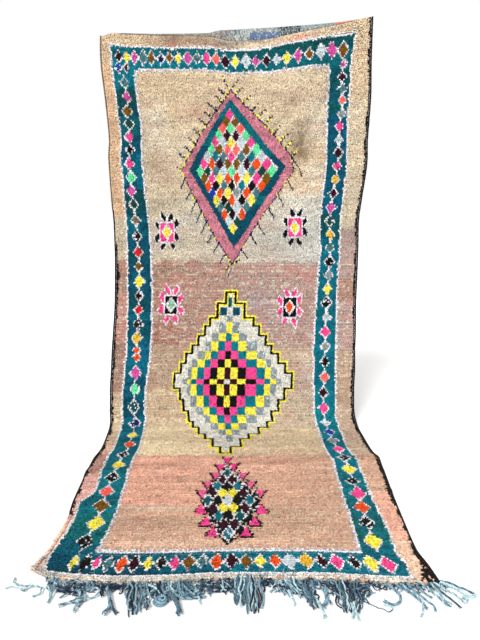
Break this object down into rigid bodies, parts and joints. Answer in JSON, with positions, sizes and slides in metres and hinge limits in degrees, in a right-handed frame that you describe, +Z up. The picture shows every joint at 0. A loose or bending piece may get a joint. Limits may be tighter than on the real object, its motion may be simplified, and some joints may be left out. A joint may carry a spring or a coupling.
{
  "type": "moroccan rug",
  "caption": "Long hand-knotted wool rug hung by its head, its foot lying on the floor, with a lozenge border, medallions, dark selvedges and a blue rag fringe.",
  "frame": {"origin": "on the floor, under the middle of the object's outer box", "axes": "+X to the right of someone facing the pile, -Y towards them over the foot, +Z up"},
  "size_m": [1.6466, 1.7356, 2.3227],
  "materials": {
    "pile_wool": "hand-knotted wool pile",
    "selvedge_hair": "overcast goat hair",
    "web_wool": "weft-faced wool web",
    "fringe_rag": "knotted rag and cotton warp ends"
  },
  "bodies": {
    "root": {"rug_pile": "pile_wool", "selvedge_left": "selvedge_hair", "selvedge_right": "selvedge_hair", "head_web": "web_wool", "warp_fringe": "fringe_rag"}
  },
  "joints": []
}
